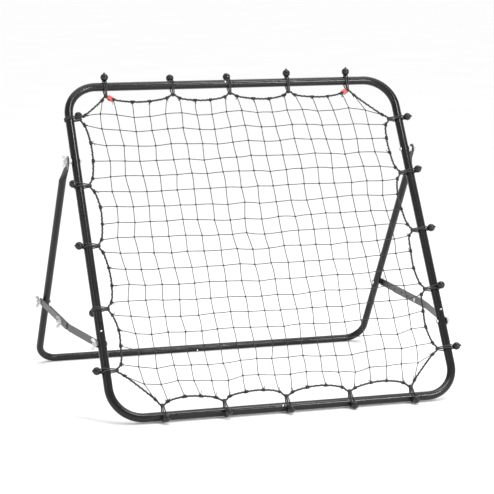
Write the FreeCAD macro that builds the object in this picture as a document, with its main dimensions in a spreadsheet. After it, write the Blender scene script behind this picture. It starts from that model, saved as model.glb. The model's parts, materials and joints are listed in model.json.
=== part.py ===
"""Pitch back rebounder: a leaning square tube frame that holds a net on ball bungees,
with a folding rear leg frame and two flat braces on each side.

Frame: X to the right, Y to the back, Z up. The origin is on the floor, below the middle
of the whole object. Lengths are in millimetres and angles in degrees.
"""
import FreeCAD, Part
import math
import os
import Sketcher

Vector = FreeCAD.Vector
Rotation = FreeCAD.Rotation
Placement = FreeCAD.Placement

DRIVING_SIZES = {
    # front frame, measured over its tubes and along its slant
    "front_width": 960, "front_length": 960, "front_tube_od": 23, "front_tube_wall": 1.2,
    "front_bend_radius": 83, "lean_angle": 32, "overall_depth": 800,
    "post_seam_height": 257, "hinge_drop": 217, "front_pivot_height": 205,
    # rear leg frame
    "leg_clearance": 6.5, "rear_tube_od": 20, "rear_tube_wall": 1.2, "rear_bend_radius": 52,
    "rear_pivot_drop": 505, "crush_length": 46, "flat_thickness": 2.4, "flat_width": 28,
    "flat_reach": 20,
    # plug-in tube joints and their snap buttons
    "spigot_length": 40, "spigot_fit": 0.1, "neck_length": 4, "neck_shoulder": 1,
    "seam_gap": 0.2, "snap_setback": 22, "snap_diameter": 6, "snap_stand_out": 3,
    "snap_travel": 3, "snap_flange": 9, "snap_fit": 0.2, "end_land": 0.2,
    "leaf_width": 8, "leaf_thickness": 0.8, "leaf_bend_arm": 18, "leaf_free_arm": 12,
    # bolts, spacers and wing nuts
    "bolt_diameter": 6, "head_diameter": 12, "head_height": 4, "hole_fit": 0.1, "turning_fit": 0.05,
    "spacer_diameter": 14, "hinge_spacer_length": 8, "spacer_round": 0.6, "seat_gap": 0.1,
    "bolt_tip": 3, "hub_diameter": 11, "hub_height": 8, "hub_straight": 2.4, "hub_taper": 1.2,
    "wing_span": 32, "wing_height": 14, "wing_thickness": 2.4, "wing_round": 2.6,
    "wing_root": 1.4, "wing_foot": 1.2, "wing_root_height": 7.4,
    # flat brace strips
    "strip_width": 20, "strip_thickness": 2.5, "strip_gap": 0.3, "leg_gap": 0.8,
    "strip_hole_pitch": 50,
    "front_tail_holes": 3, "rear_tail_holes": 1, "front_tail_end": 19, "rear_tail_end": 12,
    "pivot_flat": 14, "elbow_flat": 80, "elbow_head_height": 3,
    # ball bungees, border rope and net
    "bungee_end_margin": 128.5, "cord_diameter": 3.2, "strand_pair_width": 8, "cord_fit": 0.15,
    "ball_diameter": 21, "rope_diameter": 5, "rope_inset": 28, "rope_fit": 0.3,
    "rope_flat": 14, "scallop_depth": 16, "net_thickness": 2,
}

# Each bungee's shift along its tube from the even pitch, and the turn of its ball about the
# tube, in degrees from straight outward towards the front. The posts count upwards and the
# bars from left to right.
BUNGEES = {
    "top": [(-20, 30), (-2, -14), (-10, -14), (-10, 20), (-6, 28)],
    "bottom": [(4, 62), (-2, 73), (-4, 58), (0, 52), (2, 56)],
    "left": [(2, 12), (0, -76), (6, 15), (8, 40), (34, 135)],
    "right": [(0, 25), (2, 66), (6, 25), (10, 48), (6, 25)],
}

# Where a scallop of the border rope has its two lowest points, as shares of its span.
SCALLOP_SHARES = (0.25, 0.75)
# The tangent arc at a corner of the rope's route takes this share of the shorter run.
ARC_SHARE = 0.45
# A wing's outline, as shares of its height and of its reach from the axis.
WING_OUTLINE = [(0.25, 0.62), (0.5, 1), (1, 1), (0.96, 0.6)]
# The rounding of a bolt's head as a share of its height.
HEAD_ROUND = 0.7
# Lengths under this many millimetres count as nothing.
TINY = 0.01

doc = FreeCAD.newDocument("pitch_back_rebounder")
sheet = doc.addObject("Spreadsheet::Sheet", "Dim")
for row, (alias, value) in enumerate(DRIVING_SIZES.items(), start=1):
    sheet.set(f"A{row}", alias)
    sheet.set(f"B{row}", str(value))
    sheet.setAlias(f"B{row}", alias)
doc.recompute()

parts = {}


def size(expression):
    """The number that an expression of the sheet's cells gives."""
    value = sheet.evalExpression(str(expression))
    return float(getattr(value, "Value", value))


# ---- places worked out from the driving sizes ------------------------------------------

POST_X = "(Dim.front_width - Dim.front_tube_od) / 2"
BAR_TOP = "(Dim.front_length - Dim.front_tube_od)"
FRONT_R = "Dim.front_tube_od / 2"
REAR_R = "Dim.rear_tube_od / 2"
LEG_X = f"({POST_X} + {FRONT_R} + Dim.leg_clearance + {REAR_R})"
HINGE_HEIGHT = f"({BAR_TOP} - Dim.hinge_drop)"
BOLT_R = "Dim.bolt_diameter / 2"
LOOP_R = f"({FRONT_R} + Dim.cord_fit)"
BALL_RHO = f"({LOOP_R} + Dim.cord_diameter + Dim.cord_fit + Dim.ball_diameter / 2)"
FLAT_X = f"({POST_X} + {FRONT_R} + Dim.hinge_spacer_length + 2 * Dim.seat_gap)"
FRONT_STRIP_X = f"({POST_X} + {FRONT_R} + Dim.strip_gap)"
ELBOW_X = f"({LEG_X} + {REAR_R} + Dim.leg_gap)"
REAR_STRIP_X = f"({ELBOW_X} + Dim.strip_thickness + Dim.strip_gap)"

lean = math.radians(size("Dim.lean_angle"))
slant = Vector(0, math.sin(lean), math.cos(lean))
facing = Vector(0, -math.cos(lean), math.sin(lean))
ball_rho = size(BALL_RHO)
BELT_TILT = math.asin(size(f"({LOOP_R} - Dim.rope_diameter / 2 - Dim.rope_fit) / Dim.rope_inset"))


def round_the_tube(outward, degrees):
    """Direction from a front tube's axis, turned from outward towards the front."""
    turn = math.radians(degrees)
    return outward * math.cos(turn) + facing * math.sin(turn)


lowest_balls = [round_the_tube(slant * -1, turn) * ball_rho for _, turn in BUNGEES["bottom"]]
front_reach = size("Dim.ball_diameter / 2") - min(ball.y for ball in lowest_balls)
bar_distance = size(f"Dim.overall_depth - {FRONT_R} - {REAR_R}")
total_depth = front_reach + bar_distance + size(REAR_R)
ball_drop = size("Dim.ball_diameter / 2") - min(ball.z for ball in lowest_balls)
floor_reach = max(size(f"{LOOP_R} + Dim.cord_diameter"), ball_drop)
front_axis = Vector(0, front_reach - total_depth / 2, floor_reach)
rear_axis = Vector(0, front_axis.y + bar_distance, size(REAR_R))
hinge = front_axis + slant * size(HINGE_HEIGHT)
front_pivot = front_axis + slant * size("Dim.front_pivot_height")
leg = hinge - rear_axis
leg_length = leg.Length
leg_angle = math.degrees(math.atan2(-leg.y, leg.z))
leg_up = leg / leg_length
rear_pivot = hinge - leg_up * size("Dim.rear_pivot_drop")
brace = rear_pivot - front_pivot
brace_along = brace / brace.Length
pivot_difference = size(f"{HINGE_HEIGHT} - Dim.front_pivot_height - Dim.rear_pivot_drop")
front_strip_reach = (brace.Length + pivot_difference) / 2
rear_strip_reach = (brace.Length - pivot_difference) / 2
elbow = front_pivot + brace_along * front_strip_reach

FRONT_PLACE = Placement(front_axis, Rotation(Vector(1, 0, 0), -size("Dim.lean_angle")))
REAR_PLACE = Placement(rear_axis, Rotation(Vector(1, 0, 0), leg_angle))


# ---- helpers ---------------------------------------------------------------------------

def new_body(label, placement):
    body = doc.addObject("PartDesign::Body", label)
    body.Label = label
    body.Placement = placement
    parts[label] = body
    return body


def new_sketch(body, plane, offset=("0", "0", "0")):
    """A sketch on one of the body's origin planes, moved in the plane's own directions."""
    sketch = body.newObject("Sketcher::SketchObject", "Sketch")
    support = [item for item in body.Origin.OriginFeatures if item.Role == plane][0]
    sketch.AttachmentSupport = [(support, "")]
    sketch.MapMode = "FlatFace"
    for axis, expression in zip("xyz", offset):
        if expression != "0":
            sketch.setExpression(f"AttachmentOffset.Base.{axis}", expression)
    return sketch


def bind(sketch, constraint, expression):
    """Adds a dimension and ties it to the sheet."""
    index = sketch.addConstraint(constraint)
    sketch.setExpression(f"Constraints[{index}]", expression)


def pin_point(sketch, geometry, vertex, x, y):
    """Fixes a vertex at a place given by two expressions."""
    for kind, expression in (("DistanceX", x), ("DistanceY", y)):
        constraint = Sketcher.Constraint(kind, -1, 1, geometry, vertex, size(expression))
        bind(sketch, constraint, expression)


def circle(sketch, x, y, radius):
    centre = Vector(size(x), size(y), 0)
    index = sketch.addGeometry(Part.Circle(centre, Vector(0, 0, 1), size(radius)))
    pin_point(sketch, index, 3, x, y)
    bind(sketch, Sketcher.Constraint("Radius", index, size(radius)), radius)


def polygon(sketch, corners):
    """A closed outline of straight lines through corners given by expressions."""
    places = [Vector(size(x), size(y), 0) for x, y in corners]
    first = len(sketch.Geometry)
    count = len(places)
    for number, place in enumerate(places):
        sketch.addGeometry(Part.LineSegment(place, places[(number + 1) % count]))
    for number, (x, y) in enumerate(corners):
        line = first + number
        following = first + (number + 1) % count
        sketch.addConstraint(Sketcher.Constraint("Coincident", line, 2, following, 1))
        pin_point(sketch, line, 1, x, y)


def pad(body, sketch, length, both_ways=True):
    feature = body.newObject("PartDesign::Pad", "Pad")
    feature.Profile = sketch
    feature.setExpression("Length", length)
    feature.Midplane = both_ways
    doc.recompute()
    return feature


def revolve(body, sketch, axis):
    feature = body.newObject("PartDesign::Revolution", "Revolution")
    feature.Profile = sketch
    feature.ReferenceAxis = (sketch, [axis])
    feature.Angle = 360
    doc.recompute()
    return feature


def cut(body, sketch, depth=None, reverse=False):
    """Pockets a sketch right through both ways, or one way to a depth, and sees it cut."""
    before = body.Shape.Volume
    feature = body.newObject("PartDesign::Pocket", "Pocket")
    feature.Profile = sketch
    if depth is None:
        feature.Type = "ThroughAll"
        feature.Midplane = True
    else:
        feature.setExpression("Length", depth)
        feature.Reversed = reverse
    doc.recompute()
    if body.Shape.Volume > before - 1:
        raise ValueError(f"{body.Label}: a pocket cut nothing")
    return feature


def round_edges(body, radius, chosen):
    """Fillets the edges of the body's tip that a test picks."""
    base = body.Tip
    names = [f"Edge{n}" for n, edge in enumerate(base.Shape.Edges, start=1) if chosen(edge)]
    feature = body.newObject("PartDesign::Fillet", "Fillet")
    feature.Base = (base, names)
    feature.setExpression("Radius", radius)
    doc.recompute()
    return feature


# ---- bent tubes ------------------------------------------------------------------------

def bent_tube(label, placement, side, bar_z, up, post_x, radius, wall, bend, bar_end, post_end):
    """An L-shaped tube: a level stretch from bar_end, a bend, and a post to post_end."""
    body = new_body(label, placement)
    profile = new_sketch(body, "YZ_Plane", ("0", "0", bar_end))
    circle(profile, "0", bar_z, radius)
    circle(profile, "0", bar_z, f"{radius} - {wall}")
    spine = new_sketch(body, "XZ_Plane")
    turn_x = f"{side} * ({post_x} - {bend})"
    turn_z = f"{bar_z} + {up} * {bend}"
    corner_x = f"{side} * ({post_x})"
    centre = Vector(size(turn_x), size(turn_z), 0)
    level = (Vector(size(bar_end), size(bar_z), 0), Vector(size(turn_x), size(bar_z), 0))
    post = (Vector(size(corner_x), size(turn_z), 0), Vector(size(corner_x), size(post_end), 0))
    ring = Part.Circle(centre, Vector(0, 0, 1), size(bend))
    angles = sorted(math.atan2(p.y - centre.y, p.x - centre.x) for p in (level[1], post[0]))
    if angles[1] - angles[0] > math.pi:
        angles = [angles[1], angles[0] + 2 * math.pi]
    arc = Part.ArcOfCircle(ring, angles[0], angles[1])
    arc_starts_level = (arc.StartPoint - level[1]).Length < TINY
    spine.addGeometry(Part.LineSegment(*level))
    spine.addGeometry(arc)
    spine.addGeometry(Part.LineSegment(*post))
    pin_point(spine, 0, 1, bar_end, bar_z)
    pin_point(spine, 2, 2, corner_x, post_end)
    spine.addConstraint(Sketcher.Constraint("Horizontal", 0))
    spine.addConstraint(Sketcher.Constraint("Vertical", 2))
    spine.addConstraint(Sketcher.Constraint("Tangent", 0, 2, 1, 1 if arc_starts_level else 2))
    spine.addConstraint(Sketcher.Constraint("Tangent", 1, 2 if arc_starts_level else 1, 2, 1))
    bind(spine, Sketcher.Constraint("Radius", 1, size(bend)), bend)
    doc.recompute()
    sweep = body.newObject("PartDesign::AdditivePipe", "Sweep")
    sweep.Profile = profile
    sweep.Spine = (spine, ["Edge1", "Edge2", "Edge3"])
    doc.recompute()
    return body


def spigot(body, plane, axis, offset, heading, radius, wall):
    """The necked-down end that plugs into the next tube, turned about the tube's axis."""
    sketch = new_sketch(body, plane, offset)
    inner = f"({radius} - {wall})"
    reduced = f"({inner} - Dim.spigot_fit)"
    run = [
        ("-Dim.neck_length", radius), ("-Dim.neck_shoulder", radius), ("0", reduced),
        ("Dim.spigot_length", reduced), ("Dim.spigot_length", f"{reduced} - {wall}"),
        ("0", f"{reduced} - {wall}"), ("-Dim.neck_length", inner),
    ]
    if axis == "H_Axis":
        corners = [(f"{heading} * ({along})", across) for along, across in run]
    else:
        corners = [(across, f"{heading} * ({along})") for along, across in run]
    polygon(sketch, corners)
    revolve(body, sketch, axis)


def drill_across(body, height, fit="Dim.hole_fit"):
    """A bolt hole through a post or a leg, along X."""
    sketch = new_sketch(body, "YZ_Plane")
    circle(sketch, "0", height, f"{BOLT_R} + {fit}")
    cut(body, sketch)


def drill_snap(body, x, z, radius):
    """A snap button's hole through the front wall only."""
    sketch = new_sketch(body, "XZ_Plane")
    circle(sketch, x, z, "Dim.snap_diameter / 2 + Dim.snap_fit")
    cut(body, sketch, depth=f"2 * {radius}", reverse=True)


def front_tubes():
    seam = "Dim.post_seam_height"
    snap_x = "-Dim.snap_setback"
    snap_z = f"({seam} - Dim.snap_setback)"
    tube = (FRONT_PLACE, POST_X, FRONT_R, "Dim.front_tube_wall", "Dim.front_bend_radius")
    for level, bar_z, up in (("upper", BAR_TOP, -1), ("lower", "0", 1)):
        for side, hand in ((-1, "left"), (1, "right")):
            place, post_x, radius, wall, bend = tube
            upper = level == "upper"
            plugged = side > 0
            bar_end = f"{side} * (Dim.seam_gap / 2 + {'Dim.neck_length' if plugged else '0'})"
            if upper:
                post_end = f"({seam} + Dim.seam_gap / 2 + Dim.neck_length)"
            else:
                post_end = f"({seam} - Dim.seam_gap / 2)"
            body = bent_tube(f"front_tube_{level}_{hand}", place, side, bar_z, up, post_x,
                             radius, wall, bend, bar_end, post_end)
            if plugged:
                spigot(body, "XZ_Plane", "H_Axis", ("Dim.seam_gap / 2", bar_z, "0"), -1,
                       radius, wall)
            if upper:
                corner = f"{side} * {post_x}"
                spigot(body, "XZ_Plane", "V_Axis", (corner, f"{seam} + Dim.seam_gap / 2", "0"),
                       -1, radius, wall)
            drill_snap(body, snap_x, bar_z, radius)
            drill_snap(body, f"{side} * ({post_x})", snap_z, radius)
            if upper:
                drill_across(body, HINGE_HEIGHT)
            else:
                drill_across(body, "Dim.front_pivot_height")


def rear_tubes():
    for side, hand in ((-1, "left"), (1, "right")):
        plugged = side > 0
        bar_end = f"{side} * (Dim.seam_gap / 2 + {'Dim.neck_length' if plugged else '0'})"
        round_end = f"({leg_length} - Dim.flat_reach - Dim.crush_length)"
        body = bent_tube(f"rear_tube_{hand}", REAR_PLACE, side, "0", 1, LEG_X, REAR_R,
                         "Dim.rear_tube_wall", "Dim.rear_bend_radius", bar_end, round_end)
        if plugged:
            spigot(body, "XZ_Plane", "H_Axis", ("Dim.seam_gap / 2", "0", "0"), -1, REAR_R,
                   "Dim.rear_tube_wall")
        crushed_end(body, side, round_end)
        drill_snap(body, "-Dim.snap_setback", "0", REAR_R)
        drill_across(body, str(leg_length), "Dim.turning_fit")
        drill_across(body, f"{leg_length} - Dim.rear_pivot_drop")


def crushed_end(body, side, round_end):
    """The leg's top: the tube is pressed flat towards the frame and rounded about its hole."""
    flat_x = f"{side} * ({FLAT_X} + Dim.flat_thickness / 2)"
    flat_start = f"({leg_length} - Dim.flat_reach)"
    leg_x = f"{side} * {LEG_X}"
    root_half = f"{REAR_R} * {math.sqrt(0.5)}"
    lower = new_sketch(body, "XY_Plane", ("0", "0", round_end))
    centre = Vector(size(leg_x), 0, 0)
    ring = Part.Circle(centre, Vector(0, 0, 1), size(REAR_R))
    for quarter in range(4):
        start = math.radians(45 + 90 * quarter)
        lower.addGeometry(Part.ArcOfCircle(ring, start, start + math.pi / 2))
    for quarter in range(4):
        following = (quarter + 1) % 4
        lower.addConstraint(Sketcher.Constraint("Coincident", quarter, 2, following, 1))
        across = root_half if quarter in (0, 3) else f"-{root_half}"
        along = root_half if quarter in (0, 1) else f"-{root_half}"
        pin_point(lower, quarter, 1, f"{leg_x} + {across}", along)
    for quarter in range(4):
        bind(lower, Sketcher.Constraint("Radius", quarter, size(REAR_R)), REAR_R)
    upper = new_sketch(body, "XY_Plane", ("0", "0", flat_start))
    near, far = f"{flat_x} - Dim.flat_thickness / 2", f"{flat_x} + Dim.flat_thickness / 2"
    wide = "Dim.flat_width / 2"
    polygon(upper, [(far, wide), (near, wide), (near, f"-{wide}"), (far, f"-{wide}")])
    doc.recompute()
    loft = body.newObject("PartDesign::AdditiveLoft", "Crush")
    loft.Profile = lower
    loft.Sections = [upper]
    doc.recompute()
    plate = new_sketch(body, "YZ_Plane", ("0", "0", flat_x))
    half, foot = size(wide), size(flat_start)
    ring = Part.Circle(Vector(0, leg_length, 0), Vector(0, 0, 1), half)
    corners = [Vector(-half, leg_length, 0), Vector(-half, foot, 0), Vector(half, foot, 0),
               Vector(half, leg_length, 0)]
    plate.addGeometry(Part.ArcOfCircle(ring, 0, math.pi))
    for start, end in zip(corners, corners[1:]):
        plate.addGeometry(Part.LineSegment(start, end))
    for first, second, kind in ((0, 1, "Tangent"), (1, 2, "Coincident"), (2, 3, "Coincident"),
                                (3, 0, "Tangent")):
        plate.addConstraint(Sketcher.Constraint(kind, first, 2, second, 1))
    plate.addConstraint(Sketcher.Constraint("Vertical", 1))
    plate.addConstraint(Sketcher.Constraint("Horizontal", 2))
    plate.addConstraint(Sketcher.Constraint("Vertical", 3))
    pin_point(plate, 0, 3, "0", str(leg_length))
    bind(plate, Sketcher.Constraint("Radius", 0, half), wide)
    bind(plate, Sketcher.Constraint("DistanceY", -1, 1, 2, 1, foot), flat_start)
    pad(body, plate, "Dim.flat_thickness")


# ---- snap buttons and their leaf springs -----------------------------------------------

def snap_places():
    """Each snap button: name, tube frame, place on the tube's axis, way along, tube sizes."""
    post_z = size("Dim.post_seam_height - Dim.snap_setback")
    bar_x = -size("Dim.snap_setback")
    front = (FRONT_R, "Dim.front_tube_wall")
    rear = (REAR_R, "Dim.rear_tube_wall")
    along_x, along_z = Vector(1, 0, 0), Vector(0, 0, 1)
    post_x = size(POST_X)
    return [
        ("front_snap_button_top", FRONT_PLACE, Vector(bar_x, 0, size(BAR_TOP)), along_x, front),
        ("front_snap_button_bottom", FRONT_PLACE, Vector(bar_x, 0, 0), along_x, front),
        ("front_snap_button_left", FRONT_PLACE, Vector(-post_x, 0, post_z), along_z, front),
        ("front_snap_button_right", FRONT_PLACE, Vector(post_x, 0, post_z), along_z, front),
        ("rear_snap_button", REAR_PLACE, Vector(bar_x, 0, 0), along_x, rear),
    ]


def snap_frame(place, centre, along):
    """Placement with X along the tube and Z out of its front."""
    out = Vector(0, -1, 0)
    turn = Rotation(along, out.cross(along), out, "ZXY")
    return place.multiply(Placement(centre, turn))


def bore_radius(tube):
    radius, wall = tube
    return f"({radius} - 2 * {wall} - Dim.spigot_fit)"


def snap_button(label, place, centre, along, tube):
    """A domed pin through both tubes, with a flange that stops against the inner one."""
    body = new_body(label, snap_frame(place, centre, along))
    radius = tube[0]
    flange_top = f"sqrt(pow({bore_radius(tube)}; 2) - pow(Dim.snap_flange / 2; 2))"
    flange_top = f"({flange_top} - Dim.seat_gap)"
    top = f"({radius} + Dim.snap_stand_out)"
    sketch = new_sketch(body, "XZ_Plane")
    pin, flange = "Dim.snap_diameter / 2", "Dim.snap_flange / 2"
    polygon(sketch, [("0", f"{flange_top} - Dim.leaf_thickness"),
                     (flange, f"{flange_top} - Dim.leaf_thickness"), (flange, flange_top),
                     (pin, flange_top), (pin, top), ("0", top)])
    revolve(body, sketch, "V_Axis")
    round_edges(body, "Dim.snap_diameter / 2 - Dim.end_land",
                lambda edge: edge.BoundBox.ZMin > size(top) - TINY and len(edge.Vertexes) == 1)


def leaf_spring(name, place, centre, along, tube):
    """A bent leaf that lies in the inner tube, its free end where the pressed button stops."""
    body = doc.addObject("PartDesign::Body", name)
    body.Placement = snap_frame(place, centre, along)
    bore = bore_radius(tube)
    half = "Dim.leaf_width / 2"
    floor = f"(0 - sqrt(pow({bore}; 2) - pow({half}; 2)) + Dim.seat_gap)"
    under = f"(sqrt(pow({bore}; 2) - pow(Dim.snap_flange / 2; 2)) - Dim.leaf_thickness"
    under = f"{under} - Dim.snap_travel - 3 * Dim.seat_gap)"
    thick = "Dim.leaf_thickness"
    bend = "Dim.leaf_bend_arm"
    back = "(0 - Dim.leaf_free_arm)"
    sketch = new_sketch(body, "XZ_Plane")
    polygon(sketch, [(back, floor), (bend, floor), (bend, f"{floor} + {thick}"),
                     (f"{bend} - {thick}", f"{floor} + 2 * {thick}"),
                     ("Dim.snap_flange / 2", under), ("-Dim.snap_flange / 2", under),
                     ("-Dim.snap_flange / 2", f"{under} - {thick}"),
                     (f"Dim.snap_flange / 2 - {thick}", f"{under} - {thick}"),
                     (f"{bend} - 3 * {thick}", f"{floor} + {thick}"),
                     (back, f"{floor} + {thick}")])
    pad(body, sketch, "Dim.leaf_width")
    return body


def group(label, members):
    """Separate solids that share one node."""
    compound = doc.addObject("Part::Compound", label)
    compound.Label = label
    compound.Links = members
    parts[label] = compound


def snap_buttons():
    springs = {"front_snap_springs": [], "rear_snap_spring": []}
    for label, place, centre, along, tube in snap_places():
        snap_button(label, place, centre, along, tube)
        node = "rear_snap_spring" if label.startswith("rear") else "front_snap_springs"
        springs[node].append(leaf_spring(f"leaf_of_{label}", place, centre, along, tube))
    for label, members in springs.items():
        group(label, members)


# ---- bolts, spacers and wing nuts ------------------------------------------------------

def outward(side, x, point):
    """Placement at a point's Y and Z with the local X pointing out of that side."""
    turn = Rotation(Vector(side, 0, 0), Vector(0, side, 0), Vector(0, 0, 1), "ZXY")
    return Placement(Vector(side * size(x), point.y, point.z), turn)


def bolt(label, side, head_face, point, length, head_height="Dim.head_height"):
    """A round-headed bolt. Its head's flat side is at head_face and the shank runs outward."""
    body = new_body(label, outward(side, head_face, point))
    sketch = new_sketch(body, "XZ_Plane")
    head = "Dim.head_diameter / 2"
    polygon(sketch, [(f"-{head_height}", "0"), (f"-{head_height}", head), ("0", head),
                     ("0", BOLT_R), (length, BOLT_R), (length, "0")])
    revolve(body, sketch, "H_Axis")
    round_edges(body, f"{head_height} * {HEAD_ROUND}",
                lambda edge: edge.BoundBox.XMax < TINY - size(head_height)
                and edge.BoundBox.ZMax > size(head) - TINY)
    return body


def spacer(label, side, face, point, length):
    body = new_body(label, outward(side, face, point))
    sketch = new_sketch(body, "XZ_Plane")
    inner, outer = f"{BOLT_R} + Dim.turning_fit", "Dim.spacer_diameter / 2"
    polygon(sketch, [("0", inner), ("0", outer), (length, outer), (length, inner)])
    revolve(body, sketch, "H_Axis")
    round_edges(body, "Dim.spacer_round", lambda edge: len(edge.Vertexes) == 1
                and edge.BoundBox.ZMax > size(outer) - TINY)


def wing_nut(label, side, face, point, stud=None):
    """A hub with two raised wings. With a stud it also holds the outer half of the screw."""
    body = new_body(label, outward(side, face, point))
    hub, tall = "Dim.hub_diameter / 2", "Dim.hub_height"
    sketch = new_sketch(body, "XZ_Plane")
    hub_side = [("0", hub), ("Dim.hub_straight", hub), (tall, f"{hub} - Dim.hub_taper")]
    if stud is None:
        inner = f"{BOLT_R} + Dim.turning_fit"
        polygon(sketch, [("0", inner)] + hub_side + [(tall, inner)])
    else:
        end = f"{tall} + Dim.bolt_tip"
        polygon(sketch, [(f"-({stud})", "0"), (f"-({stud})", BOLT_R), ("0", BOLT_R)] + hub_side
                + [(tall, BOLT_R), (end, BOLT_R), (end, "0")])
    revolve(body, sketch, "H_Axis")
    root = f"{hub} - Dim.wing_root"
    outline = [("Dim.wing_foot", root)]
    for up, out in WING_OUTLINE:
        outline.append((f"Dim.wing_height * {up}", f"Dim.wing_span / 2 * {out}"))
    outline.append(("Dim.wing_root_height", root))
    wings = new_sketch(body, "XZ_Plane")
    for way in (1, -1):
        polygon(wings, [(along, f"{way} * ({across})") for along, across in outline])
    pad(body, wings, "Dim.wing_thickness")
    round_edges(body, "Dim.wing_round", is_wing_tip)


def is_wing_tip(edge):
    """Whether an edge runs across the wing's thickness at its furthest reach."""
    box = edge.BoundBox
    across = box.YLength > size("Dim.wing_thickness") - TINY and box.XLength < TINY
    reach = max(abs(box.ZMin), abs(box.ZMax))
    return len(edge.Vertexes) == 2 and across and reach > size("Dim.wing_span / 2") - TINY


def hardware():
    post_inner = f"({POST_X} - {FRONT_R} - Dim.seat_gap)"
    post_outer = f"({POST_X} + {FRONT_R} + Dim.seat_gap)"
    leg_inner = f"({LEG_X} - {REAR_R} - Dim.seat_gap)"
    leg_outer = f"({LEG_X} + {REAR_R} + Dim.seat_gap)"
    over_flat = f"({FLAT_X} + Dim.flat_thickness + Dim.seat_gap)"
    over_front_strip = f"({FRONT_STRIP_X} + Dim.strip_thickness + Dim.seat_gap)"
    over_rear_strip = f"({REAR_STRIP_X} + Dim.strip_thickness + Dim.seat_gap)"
    past_nut = "Dim.hub_height + Dim.bolt_tip"
    for side, hand in ((-1, "left"), (1, "right")):
        bolt(f"hinge_bolt_{hand}", side, post_inner, hinge,
             f"{over_flat} - {post_inner} + {past_nut}")
        spacer(f"hinge_spacer_{hand}", side, post_outer, hinge, "Dim.hinge_spacer_length")
        wing_nut(f"hinge_wing_nut_{hand}", side, over_flat, hinge)
        bolt(f"brace_front_bolt_{hand}", side, post_inner, front_pivot,
             f"{over_front_strip} - {post_inner} + {past_nut}")
        wing_nut(f"brace_front_wing_nut_{hand}", side, over_front_strip, front_pivot)
        bolt(f"brace_rear_bolt_{hand}", side, leg_inner, rear_pivot,
             f"{over_rear_strip} - {leg_inner} + {past_nut}")
        spacer(f"brace_rear_spacer_{hand}", side, leg_outer, rear_pivot,
               f"{REAR_STRIP_X} - Dim.seat_gap - {leg_outer}")
        wing_nut(f"brace_rear_wing_nut_{hand}", side, over_rear_strip, rear_pivot)
        bolt(f"brace_elbow_bolt_{hand}", side, f"{ELBOW_X} - Dim.seat_gap", elbow,
             "Dim.strip_thickness + Dim.seat_gap", "Dim.elbow_head_height")
        wing_nut(f"brace_elbow_wing_nut_{hand}", side, over_rear_strip, elbow,
                 stud="Dim.strip_thickness + Dim.seat_gap")


# ---- flat brace strips -----------------------------------------------------------------

def strip(label, side, start, along, pivot_x, far_x, reach, tail_holes, tail_end):
    """A flat strip with holes along its tail. Its far part may lie further out than its pivot."""
    out = Vector(side, 0, 0)
    turn = Rotation(along, out, along.cross(out), "ZXY")
    body = new_body(label, Placement(Vector(side * size(pivot_x), start.y, start.z), turn))
    thick = "Dim.strip_thickness"
    tail = f"({reach} + {tail_holes} * Dim.strip_hole_pitch + {tail_end})"
    rise = f"({far_x} - {pivot_x})"
    head = "(0 - Dim.strip_width / 2)"
    level_to, level_from = "Dim.pivot_flat", f"({reach} - Dim.elbow_flat)"
    sketch = new_sketch(body, "XY_Plane")
    if size(rise) > TINY:
        face = [(head, "0"), (level_to, "0"), (level_from, rise), (tail, rise)]
    else:
        face = [(head, "0"), (tail, "0")]
    back = [(x, f"{y} + {thick}") for x, y in reversed(face)]
    polygon(sketch, face + back)
    pad(body, sketch, "Dim.strip_width")
    holes = new_sketch(body, "XZ_Plane")
    circle(holes, "0", "0", f"{BOLT_R} + Dim.turning_fit")
    for number in range(-1, int(size(tail_holes)) + 1):
        circle(holes, f"{reach} + {number} * Dim.strip_hole_pitch", "0", f"{BOLT_R} + Dim.hole_fit")
    cut(body, holes)
    round_edges(body, "Dim.strip_width / 2 - Dim.end_land", is_strip_corner)


def is_strip_corner(edge):
    """Whether an edge runs through the strip's thickness at one of its long sides."""
    box = edge.BoundBox
    at_side = abs(box.ZMin) > size("Dim.strip_width / 2") - TINY
    return at_side and box.ZLength < TINY and box.XLength < TINY


def brace_strips():
    for side, hand in ((-1, "left"), (1, "right")):
        strip(f"brace_front_strip_{hand}", side, front_pivot, brace_along, FRONT_STRIP_X,
              ELBOW_X, str(front_strip_reach), "Dim.front_tail_holes", "Dim.front_tail_end")
        strip(f"brace_rear_strip_{hand}", side, rear_pivot, brace_along * -1, REAR_STRIP_X,
              REAR_STRIP_X, str(rear_strip_reach), "Dim.rear_tail_holes", "Dim.rear_tail_end")


# ---- ball bungees ----------------------------------------------------------------------

def bungee_places():
    """Each bungee: name, place on the tube's axis, outward and along directions, ball turn."""
    post_x, bar_top = size(POST_X), size(BAR_TOP)
    margin = size("Dim.bungee_end_margin")
    across, upward = Vector(1, 0, 0), Vector(0, 0, 1)
    sides = {
        "top": (Vector(0, 0, bar_top), upward, across),
        "bottom": (Vector(0, 0, 0), upward * -1, across),
        "left": (Vector(-post_x, 0, bar_top / 2), across * -1, upward),
        "right": (Vector(post_x, 0, bar_top / 2), across, upward),
    }
    places = []
    for side, (middle, out, along) in sides.items():
        half_run = (post_x if along == across else bar_top / 2) - margin
        gaps = len(BUNGEES[side]) - 1
        for number, (shift, turn) in enumerate(BUNGEES[side]):
            even_place = (2 * number / gaps - 1) * half_run
            centre = middle + along * (even_place + shift)
            places.append((f"bungee_{side}_{number + 1}", centre, out, along, turn))
    return places


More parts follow.
